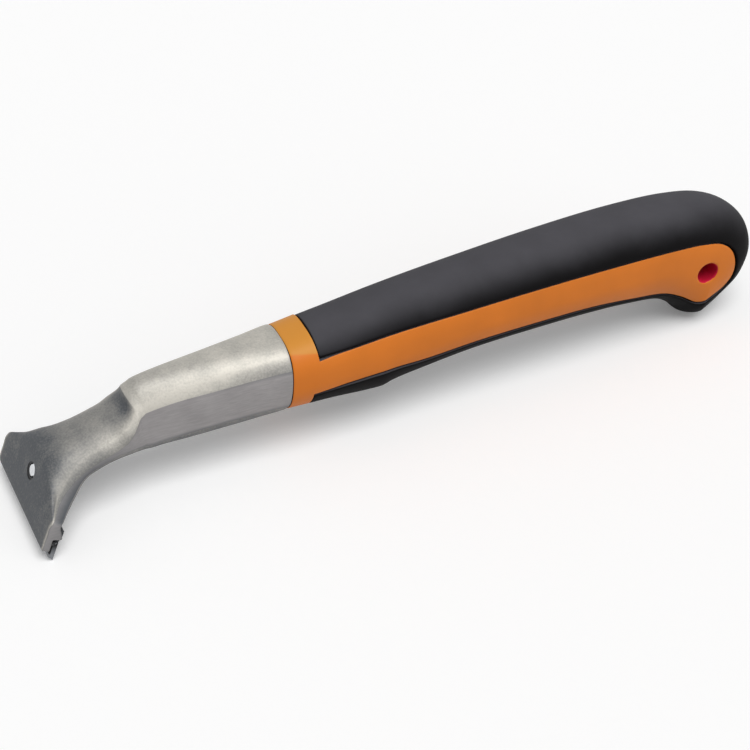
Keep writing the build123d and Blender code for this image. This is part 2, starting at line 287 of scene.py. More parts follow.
def join(pieces, name):
    """One object from several, whose vertices stay apart where they meet."""
    select_only(pieces[0])
    for piece in pieces[1:]:
        piece.select_set(True)
    bpy.ops.object.join()
    piece = bpy.context.object
    piece.name = piece.data.name = name
    return piece


def close_mesh(piece, merge, fill=True):
    """Merges vertices closer than that many mm, fills open ends and points the faces outwards."""
    select_only(piece)
    bpy.ops.object.mode_set(mode="EDIT")
    bpy.ops.mesh.select_all(action="SELECT")
    bpy.ops.mesh.remove_doubles(threshold=merge * MM)
    bpy.ops.mesh.dissolve_degenerate(threshold=0.0005 * MM)
    if fill:
        bpy.ops.mesh.select_all(action="DESELECT")
        bpy.ops.mesh.select_non_manifold(extend=False)
        bpy.ops.mesh.fill_holes(sides=0)
    bpy.ops.mesh.select_all(action="SELECT")
    bpy.ops.mesh.normals_make_consistent(inside=False)
    bpy.ops.object.mode_set(mode="OBJECT")


def modify(piece, kind, **settings):
    """Adds a modifier with its settings and applies it."""
    select_only(piece)
    modifier = piece.modifiers.new(kind.title(), kind)
    for key, value in settings.items():
        setattr(modifier, key, value)
    bpy.ops.object.modifier_apply(modifier=modifier.name)


def cut(piece, cutter):
    """Cuts a closed shape out of a piece and removes the cutter."""
    modify(piece, "BOOLEAN", operation="DIFFERENCE", object=cutter, solver="EXACT")
    bpy.data.objects.remove(cutter)


def unite(piece, other):
    """Makes two closed shapes that overlap into one."""
    modify(piece, "BOOLEAN", operation="UNION", object=other, solver="EXACT")
    bpy.data.objects.remove(other)


def thicken(piece, wall, merge):
    """Merges the doubles of an open skin and gives it a wall inwards, in mm."""
    close_mesh(piece, merge=merge, fill=False)
    modify(piece, "SOLIDIFY", thickness=wall * MM, offset=-1.0)
    close_mesh(piece, merge=0.0005, fill=False)


def round_edges(piece, width, segments, angle):
    """Bevels the edges that turn by more than that many degrees, to a width in mm."""
    modify(piece, "BEVEL", width=width * MM, segments=segments, limit_method="ANGLE",
           angle_limit=radians(angle))


def smooth(piece, angle):
    """Shades a piece smooth, but for the edges that turn by more than that many degrees."""
    select_only(piece)
    bpy.ops.object.shade_smooth_by_angle(angle=radians(angle))


def paint(piece, *finishes):
    """Gives a piece the materials of these finishes, in this order, in place of any it has."""
    piece.data.materials.clear()
    for finish in finishes:
        piece.data.materials.append(material(finish))


def place_on(piece, body, slot, *nodes):
    """Puts a piece on its body, in place of the CAD nodes that it stands for."""
    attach(piece, body)
    if nodes:
        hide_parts(*nodes)


def finish_faces(piece, test, index):
    """Gives the faces that pass a test of their centre and normal the material of that index."""
    for face in piece.data.polygons:
        if test(face.center, face.normal):
            face.material_index = index


def extrude_across(name, outline, half_width):
    """Bar along Y with a constant section, whose outline is places (u, v) on the plate, in mm."""
    piece = primitive(name, bpy.ops.mesh.primitive_circle_add,
                      vertices=len(outline), radius=1, fill_type="NGON")
    for vertex, place in zip(piece.data.vertices, outline):
        x, z = on_plate(*place)
        vertex.co = (x * MM, -half_width * MM, z * MM)
    bpy.ops.object.mode_set(mode="EDIT")
    bpy.ops.mesh.select_all(action="SELECT")
    bpy.ops.mesh.extrude_region_move(TRANSFORM_OT_translate={"value": (0, 2 * half_width * MM, 0)})
    bpy.ops.mesh.select_all(action="SELECT")
    bpy.ops.mesh.normals_make_consistent(inside=False)
    bpy.ops.object.mode_set(mode="OBJECT")
    return piece


def round_bar(name, radius, front, back, vertices=64, front_radius=None):
    """Cylinder or cone square to the plate, from one depth behind its face to another, in mm."""
    piece = primitive(name, bpy.ops.mesh.primitive_cone_add, vertices=vertices,
                      radius1=(front_radius or radius) * MM, radius2=radius * MM, depth=(back - front) * MM)
    piece.data.transform(Matrix.Translation((0, 0, (front + back) / 2 * MM)))
    piece.data.transform(SCREW_PLACE)
    return piece


def block(name, size, centre, rounding=None):
    """Box square to the plate: its size and centre, in mm down the slope, across and behind the face."""
    piece = primitive(name, bpy.ops.mesh.primitive_cube_add, size=1)
    piece.data.transform(Matrix.Diagonal((*(side * MM for side in size), 1)))
    if rounding:
        modify(piece, "BEVEL", width=rounding * MM, segments=4)
    piece.data.transform(SCREW_PLACE @ Matrix.Translation([place * MM for place in centre]))
    return piece


# ---------------- handle surfaces
HANDLE_PATHS = curve([profile + border for profile, border in PROFILE_AND_BORDER], BORDER_GAPS)
PROFILE_PATH = HANDLE_PATHS[:, :2]
BORDER_PATH = HANDLE_PATHS[:, 2:]
FULL_PROFILE = np.vstack([[(-10, 13.6)], [(0, 15.1)], PROFILE_PATH, [(0, -14.5)], [(-10, -14.6)]])


def distance_to(path, s, t):
    """Distance of each (s, t) from a path of points."""
    start, end = path[:-1], path[1:]
    span = end - start
    best = np.full(np.shape(s), 1e9)
    for (s0, t0), (ds, dt) in zip(start, span):
        length = max(ds * ds + dt * dt, 1e-12)
        place = np.clip(((s - s0) * ds + (t - t0) * dt) / length, 0, 1)
        best = np.minimum(best, np.hypot(s - s0 - place * ds, t - t0 - place * dt))
    return best


def fullness(s, t):
    """Exponent of the handle's oval: squarer above the middle, rounder below and round the pommel."""
    below = np.clip((np.interp(s, *MIDDLE) - t) / 8 + 0.5, 0, 1)
    pommel = np.clip((s - 150) / 25, 0, 1)
    return 2.4 - 0.35 * np.maximum(below, pommel)


def grip_width(s, t):
    """Half width of the soft grip at (s, t): full in the middle, rounding to nothing at the profile."""
    reach = np.clip(distance_to(FULL_PROFILE, s, t) / np.interp(s, *ROUND_DEPTH), 0, 1)
    power = fullness(s, t)
    return np.interp(s, *SIDE_WIDTH) * (1 - (1 - reach) ** power) ** (1 / power)


def ring_size(station):
    """Half width, top and bottom of the ring's section at a station from 0 to RING_END."""
    share = np.clip(np.asarray(station, float) / RING_END, 0, 1)
    return 13.7 + 0.4 * share, 13.3 + 1.9 * share, -14.8 + 0.2 * share


def ring_width(station, t):
    """Half width of the ring at a height: squarish shoulders above, round below."""
    half_width, top, bottom = ring_size(station)
    middle = (top + bottom) / 2
    power = np.where(t > middle, UPPER_RING, LOWER_RING)
    share = np.clip((t - middle) / np.where(t > middle, top - middle, bottom - middle), 0, 1)
    return half_width * (1 - share ** power) ** (1 / power)


def front_place(station, fronts):
    """Distance behind the collar of a station on the ring's upper or lower border."""
    return np.interp(station, [-10, 0, RING_END, 20, 300], [-10, 0, fronts, 20, 300])


def panel_width(station, s, t, depth):
    """Half width of the hard core's outside: the ring, running into the side panel."""
    blend = np.clip((station - RING_END) / 14, 0, 1)
    blend = blend * blend * (3 - 2 * blend)
    return ring_width(station, t) * (1 - blend) + (grip_width(s, t) - depth) * blend


# ---------------- materials
def linear(hex_colour):
    """sRGB hex colour as linear RGBA."""
    values = [int(hex_colour[i:i + 2], 16) / 255 for i in (1, 3, 5)]
    return [v / 12.92 if v <= 0.04045 else ((v + 0.055) / 1.055) ** 2.4 for v in values] + [1.0]


def tinted(colour, factor):
    """A colour made lighter or darker."""
    return [min(value * factor, 1.0) for value in colour[:3]] + [1.0]


def add_node(tree, kind, settings=None, inputs=None, stops=()):
    """Adds a shader node with its settings, inputs (a value, or a (node, output) pair) and ramp's stops."""
    node = tree.nodes.new("ShaderNode" + kind)
    for key, value in (settings or {}).items():
        setattr(node, key, value)
    for key, value in (inputs or {}).items():
        if isinstance(value, tuple) and isinstance(value[0], bpy.types.Node):
            tree.links.new(value[0].outputs[value[1]], node.inputs[key])
        else:
            node.inputs[key].default_value = value
    for index, (position, colour) in enumerate(stops):
        elements = node.color_ramp.elements
        element = elements[index] if index < 2 else elements.new(position)
        element.position, element.color = position, colour
    return node


def finish_material(name, maker):
    """Node material of that name, whose shader has the inputs that maker(node) returns."""
    material = bpy.data.materials.new(name)
    material.use_nodes = True
    tree = material.node_tree
    tree.nodes.clear()
    node = partial(add_node, tree)
    surface = node("BsdfPrincipled", inputs=maker(node))
    node("OutputMaterial", inputs={"Surface": (surface, 0)})
    return material


def material(finish):
    """The material of a finish, made the first time that it is asked for."""
    name = finish.__name__
    return bpy.data.materials.get(name) or finish_material(name, finish)


def mottled(node, size, detail, dark, pale):
    """Noise in patches of that size in mm, and the tone that it makes between two colours."""
    place = (node("TexCoord"), "Object")
    patches = node("TexNoise", inputs={
        "Vector": place, "Scale": 1 / (size * MM), "Detail": detail})
    tone = node("ValToRGB", inputs={"Fac": (patches, "Fac")}, stops=((0.3, dark), (0.7, pale)))
    return (patches, "Fac"), (tone, "Color")


def cast_aluminium(node):
    """Tumbled aluminium casting, its tone running from a blue-grey cast skin to pale polished metal. This
    is partly real wear and partly painted light and shade: pale on the neck's top and crests where the
    light falls, dark on the step's wall, the flare and the plate, which face away from it. A sandy grain
    sparkles all over."""
    colours = bpy.context.scene.scraper
    place = (node("TexCoord"), "Object")
    polish = (node("Attribute", {"attribute_name": "polish"}), "Fac")
    cloud = node("TexNoise", inputs={"Vector": place, "Scale": 1 / (7 * MM), "Detail": 4.0})
    grain = node("TexNoise", inputs={"Vector": place, "Scale": 1 / (0.7 * MM), "Detail": 3.0})
    # tone from the cast skin to polished metal: partly real wear, partly painted light and shade
    wear_and_shading = node("Math", {"operation": "MULTIPLY_ADD"}, {0: (cloud, "Fac"), 1: 0.5, 2: -0.25})
    wear_and_shading = node("Math", {"operation": "ADD", "use_clamp": True}, {0: polish, 1: (wear_and_shading, 0)})
    speck = node("Math", {"operation": "MULTIPLY_ADD"}, {0: (grain, "Fac"), 1: 0.48, 2: -0.24})
    wear_and_shading = node("Math", {"operation": "ADD", "use_clamp": True}, {0: (wear_and_shading, 0), 1: (speck, 0)})
    tone = node("ValToRGB", inputs={"Fac": (wear_and_shading, 0)}, stops=(
        (0.0, tinted(colours.cast_skin_and_shade, 1)), (1.0, tinted(colours.polished_and_lit_metal, 1)),
        (0.5, tinted([(a + b) / 2 for a, b in zip(colours.cast_skin_and_shade, colours.polished_and_lit_metal)], 0.92))))
    rough = node("MapRange", inputs={"Value": (wear_and_shading, 0), "To Min": 0.62, "To Max": 0.56})
    bump = node("Bump", inputs={"Strength": 0.5, "Distance": 0.16 * MM, "Height": (grain, "Fac")})
    return {
        "Base Color": (tone, "Color"), "Metallic": 0.5, "Roughness": (rough, "Result"),
        "Normal": (bump, "Normal")}


def ground_aluminium(node):
    """Flats ground on a belt: mid grey, with fine streaks along the neck. On the flare they are painted
    darker, towards the cast skin's tone and most at their lower edge, as painted shade."""
    colours = bpy.context.scene.scraper
    polish = (node("Attribute", {"attribute_name": "polish"}), "Fac")
    place = (node("TexCoord"), "Object")
    turned = node("Mapping", inputs={
        "Vector": place, "Rotation": (0, -AXIS_FALL, 0), "Scale": (0.06, 1.0, 1.0)})
    streak = node("TexNoise", inputs={
        "Vector": (turned, "Vector"), "Scale": 1 / (0.5 * MM), "Detail": 4.0})
    cloud = node("TexNoise", inputs={"Vector": place, "Scale": 1 / (12 * MM), "Detail": 3.0})
    mixed = node("Math", {"operation": "MULTIPLY_ADD"}, {0: (cloud, "Fac"), 1: 0.5, 2: 0.0})
    mixed = node("Math", {"operation": "MULTIPLY_ADD"}, {0: (streak, "Fac"), 1: 0.5, 2: (mixed, 0)})
    tone = node("ValToRGB", inputs={"Fac": (mixed, 0)}, stops=(
        (0.35, tinted(colours.ground_metal, 0.88)), (0.65, tinted(colours.ground_metal, 1.12))))
    # painted shade: the flats mix towards the cast skin's tone where the attribute is low
    tone = node("Mix", {"data_type": "RGBA"}, {
        0: polish, 6: tinted(colours.cast_skin_and_shade, 1), 7: (tone, "Color")})
    bump = node("Bump", inputs={"Strength": 0.3, "Distance": 0.06 * MM, "Height": (streak, "Fac")})
    return {
        "Base Color": (tone, 2), "Metallic": 0.5, "Roughness": 0.5, "Normal": (bump, "Normal")}


def bore_painted_shade(node):
    """The screw's tapped hole: near black, as painted shade in the bore, ringed at the thread's pitch by
    lighter bands, painted glints on the thread.
    """
    place = (node("TexCoord"), "Object")
    depth = node("VectorMath", {"operation": "DOT_PRODUCT"}, {0: place, 1: tuple(PLATE_NORMAL)})
    turn = node("Math", {"operation": "MULTIPLY"}, {0: (depth, "Value"), 1: 2 * pi / (THREAD_PITCH * MM)})
    thread = node("Math", {"operation": "SINE"}, {0: (turn, 0)})
    tone = node("MapRange", {"data_type": "FLOAT_VECTOR"}, {
        6: (thread, 0), 7: (-1, -1, -1), 8: (1, 1, 1), 9: linear("#19191A")[:3], 10: linear("#47484A")[:3]})
    bump = node("Bump", inputs={"Strength": 0.8, "Distance": 0.3 * MM, "Height": (thread, 0)})
    return {
        "Base Color": (tone, 1), "Metallic": 0.4, "Roughness": 0.5, "Normal": (bump, "Normal")}


def orange_polypropylene(node):
    """Injection-moulded polypropylene: satin orange with a fine spark-eroded grain. The ring's crown is
    painted lighter and yellower, as painted light where the light falls on its top."""
    colours = bpy.context.scene.scraper
    place = (node("TexCoord"), "Object")
    cloud = node("TexNoise", inputs={"Vector": place, "Scale": 1 / (18 * MM), "Detail": 2.0})
    grain = node("TexNoise", inputs={"Vector": place, "Scale": 1 / (0.4 * MM), "Detail": 2.0})
    tone = node("ValToRGB", inputs={"Fac": (cloud, "Fac")}, stops=(
        (0.3, tinted(colours.core_colour, 0.94)), (0.7, tinted(colours.core_colour, 1.06))))
    height = node("VectorMath", {"operation": "DOT_PRODUCT"}, {0: place, 1: tuple(RISE)})
    # painted light: lighter and yellower above the panels' top edge, on the ring only
    painted_crown_light = node("MapRange", {"interpolation_type": "SMOOTHSTEP"}, {
        "Value": (height, "Value"),
        "From Min": (COLLAR @ RISE + 11.2) * MM, "From Max": (COLLAR @ RISE + 12.0) * MM})
    along_x = node("SeparateXYZ", inputs={"Vector": place})
    on_ring = node("MapRange", {"interpolation_type": "SMOOTHSTEP"}, {
        "Value": (along_x, "X"), "From Min": -33.5 * MM, "From Max": -35.5 * MM})
    painted_crown_light = node("Math", {"operation": "MULTIPLY"}, {0: (painted_crown_light, 0), 1: (on_ring, 0)})
    tone = node("Mix", {"data_type": "RGBA"}, {
        0: (painted_crown_light, 0), 6: (tone, "Color"), 7: tinted(colours.core_painted_light, 1)})
    bump = node("Bump", inputs={"Strength": 0.2, "Distance": 0.05 * MM, "Height": (grain, "Fac")})
    return {
        "Base Color": (tone, 2), "Roughness": 0.5, "Specular IOR Level": 0.3, "Normal": (bump, "Normal")}


def red_hole_shade(node):
    """The inside of the hang hole: deep red, darker than the core's orange, as painted shade deep in the hole; a
    little cloudy.
    """
    colour = bpy.context.scene.scraper.hole_shade_colour
    tone = mottled(node, 3, 2.0, tinted(colour, 0.85), tinted(colour, 1.15))[1]
    return {"Base Color": tone, "Roughness": 0.55, "Specular IOR Level": 0.2}


def black_elastomer(node):
    """Thermoplastic elastomer: near black and matt, a fine moulded grain, and a grey painted sheen where it
    faces up, as painted light, broken up by patches of dust.
    """
    colours = bpy.context.scene.scraper
    coordinates = node("TexCoord")
    place = (coordinates, "Object")
    dust = node("TexNoise", inputs={"Vector": place, "Scale": 1 / (16 * MM), "Detail": 5.0})
    grain = node("TexNoise", inputs={"Vector": place, "Scale": 1 / (0.6 * MM), "Detail": 3.0})
    facing = node("SeparateXYZ", inputs={"Vector": (coordinates, "Normal")})
    # painted sheen: lighter grey where the surface faces up, broken up by dust
    sheen_and_dust = node("Math", {"operation": "MULTIPLY_ADD"}, {0: (dust, "Fac"), 1: 0.3, 2: (facing, "Z")})
    sheen_and_dust = node("MapRange", {"interpolation_type": "SMOOTHSTEP"}, {
        "Value": (sheen_and_dust, 0), "From Min": 0.42, "From Max": 1.5})
    tone = node("Mix", {"data_type": "RGBA"}, {
        0: (sheen_and_dust, 0), 6: tinted(colours.grip_colour, 1), 7: tinted(colours.grip_sheen_and_dust, 1)})
    rough = node("MapRange", inputs={"Value": (dust, "Fac"), "To Min": 0.55, "To Max": 0.68})
    bump = node("Bump", inputs={"Strength": 0.3, "Distance": 0.07 * MM, "Height": (grain, "Fac")})
    return {
        "Base Color": (tone, 2), "Roughness": (rough, "Result"), "Specular IOR Level": 0.05,
        "Normal": (bump, "Normal")}


def ground_carbide(node):
    """Tungsten carbide ground across its width: close fine scratches, light grey at the working edge and
    black towards its seat and along its front face, as painted shade where it sits in the gap under the plate."""
    place = (node("TexCoord"), "Object")
    turned = node("Mapping", inputs={"Vector": place, "Scale": (1.0, 0.08, 1.0)})
    scratch = node("TexNoise", inputs={
        "Vector": (turned, "Vector"), "Scale": 1 / (0.3 * MM), "Detail": 3.0})
    height = node("VectorMath", {"operation": "DOT_PRODUCT"}, {0: place, 1: tuple(PLATE_UP)})
    depth = node("VectorMath", {"operation": "DOT_PRODUCT"}, {0: place, 1: tuple(PLATE_NORMAL)})
    middle = float(PLATE_CENTRE @ PLATE_UP)
    # painted shade: darker up the blade, towards its seat under the plate
    unshaded = node("MapRange", inputs={
        "Value": (height, "Value"), "From Min": (middle - 10.9) * MM, "From Max": (middle - 15.6) * MM})
    # painted shade along the front face, in the gap against the plate
    seat = float(PLATE_CENTRE @ PLATE_NORMAL) + BLADE_FACES[0]
    seat = node("MapRange", inputs={
        "Value": (depth, "Value"), "From Min": (seat + 0.35) * MM, "From Max": (seat + 0.6) * MM})
    below = node("MapRange", inputs={
        "Value": (height, "Value"), "From Min": (middle - 15.0) * MM, "From Max": (middle - 15.6) * MM})
    seat = node("Math", {"operation": "MAXIMUM"}, {0: (seat, 0), 1: (below, 0)})
    unshaded = node("Math", {"operation": "MULTIPLY"}, {0: (unshaded, 0), 1: (seat, 0)})
    tone = node("ValToRGB", inputs={"Fac": (unshaded, 0)}, stops=(
        (0.0, linear("#121213")), (0.2, linear("#2E2F30")),
        (0.5, linear("#606265")), (1.0, linear("#8C8E92"))))
    tone = node("Mix", {"data_type": "RGBA", "blend_type": "MULTIPLY"}, {
        0: 0.35, 6: (tone, "Color"), 7: (scratch, "Color")})
    bump = node("Bump", inputs={"Strength": 0.25, "Distance": 0.04 * MM, "Height": (scratch, "Fac")})
    return {
        "Base Color": (tone, 2), "Metallic": 0.7, "Roughness": 0.45, "Normal": (bump, "Normal")}


def honed_carbide(node):
    """The blade's two honed bevels: the same carbide, much brighter."""
    tone = mottled(node, 0.4, 3.0, linear("#97999C"), linear("#A9ABAE"))[1]
    return {"Base Color": tone, "Metallic": 0.9, "Roughness": 0.25}


def black_oxide_steel(node):
    """Pressed steel with a black oxide finish that handling has rubbed grey: dull and slightly mottled."""
    mottle, tone = mottled(node, 0.8, 4.0, linear("#37383A"), linear("#505154"))
    rough = node("MapRange", inputs={"Value": mottle, "To Min": 0.45, "To Max": 0.6})
    bump = node("Bump", inputs={"Strength": 0.2, "Distance": 0.04 * MM, "Height": mottle})
    return {"Base Color": tone, "Metallic": 0.8, "Roughness": (rough, "Result"), "Normal": (bump, "Normal")}


def bright_zinc_steel(node):
    """Bright zinc plating: pale, glossy, a little cloudy."""
    cloud, tone = mottled(node, 1.2, 2.0, linear("#C9CBCE"), linear("#DEE0E2"))
    rough = node("MapRange", inputs={"Value": cloud, "To Min": 0.18, "To Max": 0.3})
    return {"Base Color": tone, "Metallic": 1.0, "Roughness": (rough, "Result")}


# ---------------- properties
def colour(name, description, hex_colour):
    """Colour property with that sRGB hex as its default."""
    return FloatVectorProperty(name=name, description=description, subtype="COLOR", size=4,
                               default=linear(hex_colour))


class ScraperSettings(bpy.types.PropertyGroup):
    crest_radius: FloatProperty(
        name="Crest radius", description="Rounding where the neck's top meets its side, in mm",
        default=0.9, min=0.1, max=2.0)
    panel_depth: FloatProperty(
        name="Panel depth", description="How far the side panel lies below the soft grip, in mm",
        default=0.6, min=0.1, max=1.5)
    groove_width: FloatProperty(
        name="Groove", description="Gap between the side panel and the soft grip, in mm",
        default=0.65, min=0.1, max=1.0)
    # pale polished metal, which also stands for painted light on the neck's top and crests
    polished_and_lit_metal: colour("Polished metal", "Casting where it is polished", "#C2BEB5")
    # the cast skin's tone, which also stands for painted shade on the step's wall, the flare and the plate
    cast_skin_and_shade: colour("Cast skin", "Casting where the skin is left as cast", "#54575B")
    ground_metal: colour("Ground metal", "Flats ground on the casting's sides", "#959292")
    core_colour: colour("Core", "Ring and side panels", "#D97820")
    # painted light on the ring's crown
    core_painted_light: colour("Faded core", "Ring where it faces the daylight", "#D68F35")
    grip_colour: colour("Soft grip", "Soft grip where it faces down or sideways", "#0F0E0F")
    # painted sheen where the soft grip faces up, broken up by dust
    grip_sheen_and_dust: colour("Bloom", "Soft grip where it faces up", "#5A595E")
    # painted shade deep inside the hang hole, in deep red
    hole_shade_colour: colour("Bush", "Inside of the hang hole", "#C4183A")


# ---------------- pieces
class SCRAPER_OT_head(bpy.types.Operator):
    """Cast head: neck with ground sides, step, flare and plate"""
    bl_idname = "scraper.head"
    bl_label = "Cast head"

    def execute(self, context):
        rows = NECK + STEP + FLARE + PLATE
        crest, crown, edge, keel = (curve([row[part] for row in rows], HEAD_GAPS) for part in range(4))
        bulge, centre_polish_and_shading, crest_polish_and_highlight = curve([row[4:] for row in rows], HEAD_GAPS).T
        crest[:, 1] = np.minimum(crest[:, 1], HALF_WIDTH)
        edge[:, 1] = np.minimum(edge[:, 1], HALF_WIDTH)
        flank = np.interp(crown[:, 0], *FLANK)
        rim, ground = np.interp(crown[:, 0], *RIM_FADE), np.interp(crown[:, 0], *GROUND_AND_SHADE)
        radius = context.scene.scraper.crest_radius * np.interp(crown[:, 0], *CREST_FADE) * rim
        columns, polish, flats = [], [], []

        def over(edges, centre, power, share):
            """Column of the top or of the underside, at a share of the way from the middle to its edge."""
            rise = 1 - np.abs(share) ** power
            middle = np.column_stack([centre[:, 0], np.zeros(len(centre)), centre[:, 1]])
            place = edges + (middle - edges) * rise[:, None]
            place[:, 1] = edges[:, 1] * share
            return place

        top = partial(over, crest, crown, flank)
        under = partial(over, edge, keel, UNDER_POWER)

        def side(share, sign):
            """Column of a side, at a share of the way down it."""
            place = crest + (edge - crest) * share[:, None]
            place[:, 1] = sign * (place[:, 1] + bulge * (4 * share * (1 - share)) ** 0.8)
            return place

        def corner(before, at, after, finish, last_finish):
            """Rounded corner from before to after, pulled towards at."""
            for k in np.linspace(0, 1, 6):
                columns.append(before * (1 - k) ** 2 + at * 2 * k * (1 - k) + after * k * k)
                polish.append(finish * (1 - k * k) + last_finish * k * k)

        def flat(sign, start, end):
            """Columns of a ground side, which includes the last of the corner before it."""
            first = len(columns) - 1
            for k in np.linspace(start, end, 12)[1:-1]:
                columns.append(side(near + (1 - 2 * near) * k, sign))
                # on the flare, lighter at the top of each side and darker down to its lower edge: painted shade
                polish.append(np.clip(ground + (1 - ground) * (0.45 - 0.75 * k), 0, 1))
            flats.extend(range(first, len(columns)))

        near = np.clip(radius / np.linalg.norm(edge - crest, axis=1), 0, 0.3)
        wide = 1 - np.clip(radius / np.maximum(crest[:, 1], 1.0), 0, 0.3)
        skin_polish = np.full(len(crest), 0.15)
        # the crests and the plate's thin rim are painted lighter: partly real wear, partly a painted highlight
        rim_polish_and_highlight = crest_polish_and_highlight + 0.6 * (1 - rim)
        corner_polish_and_highlight = rim_polish_and_highlight * np.interp(crown[:, 0], *CORNER_FADE)
        mirror = np.array([1, -1, 1])
        # from the near crest over the top to the far one, down the far side, under, and up the near side
        corner(side(near, -1), crest * mirror, top(-wide), corner_polish_and_highlight, rim_polish_and_highlight)
        # the top: pale on the neck and the crests, partly real wear and partly painted light; darker on the step
        # and the flare as painted shade
        for k in np.linspace(-1, 1, 45)[1:-1]:
            columns.append(top(wide * k))
            polish.append(centre_polish_and_shading + (crest_polish_and_highlight * rim - centre_polish_and_shading) * abs(k) ** 3.5)
        corner(top(wide), crest, side(near, 1), rim_polish_and_highlight, corner_polish_and_highlight)
        flat(1, 0, 1)
        corner(side(1 - near, 1), edge, under(wide), skin_polish + 0.2, skin_polish)
        for k in np.linspace(1, -1, 31)[1:-1]:
            columns.append(under(wide * k))
            polish.append(skin_polish)
        corner(under(-wide), edge * mirror, side(1 - near, -1), skin_polish, skin_polish + 0.2)
        flat(-1, 1, 0)
        columns.append(columns[0])
        polish.append(polish[0])
        places = np.stack(columns, axis=1)
        piece = skin("cast_head", places, np.stack(polish, axis=1))
        paint(piece, cast_aluminium, ground_aluminium, bore_painted_shade)
        finish_strips(piece, places, [], flats, 1)
        close_mesh(piece, merge=0.004)
        # room behind the plate for the clamp's tongue and the screw's head
        cut(piece, block("hollow", HOLLOW, HOLLOW_PLACE, rounding=2.0))
        cut(piece, round_bar("drill", BORE_RADIUS, -5, 15))
        cut(piece, round_bar("countersink", BORE_RADIUS, -0.4, 0.8, front_radius=MOUTH_RADIUS))
        # the walls of the screw's hole and its countersink get the bore's painted shade
        finish_faces(piece, self.in_bore, 2)
        smooth(piece, 28)
        place_on(piece, "body", "cast_metal", "scraper_head")
        return {"FINISHED"}

    def in_bore(self, place, normal):
        """True on the wall of the screw's hole and of its countersink."""
        reach = np.array(place) / MM - PLATE_CENTRE
        depth = reach @ PLATE_NORMAL
        away = np.linalg.norm(reach - PLATE_NORMAL * depth)
        facing = abs(np.array(normal) @ PLATE_NORMAL)
        return away < DARK_RADIUS and depth < DARK_DEPTH and facing < 0.9


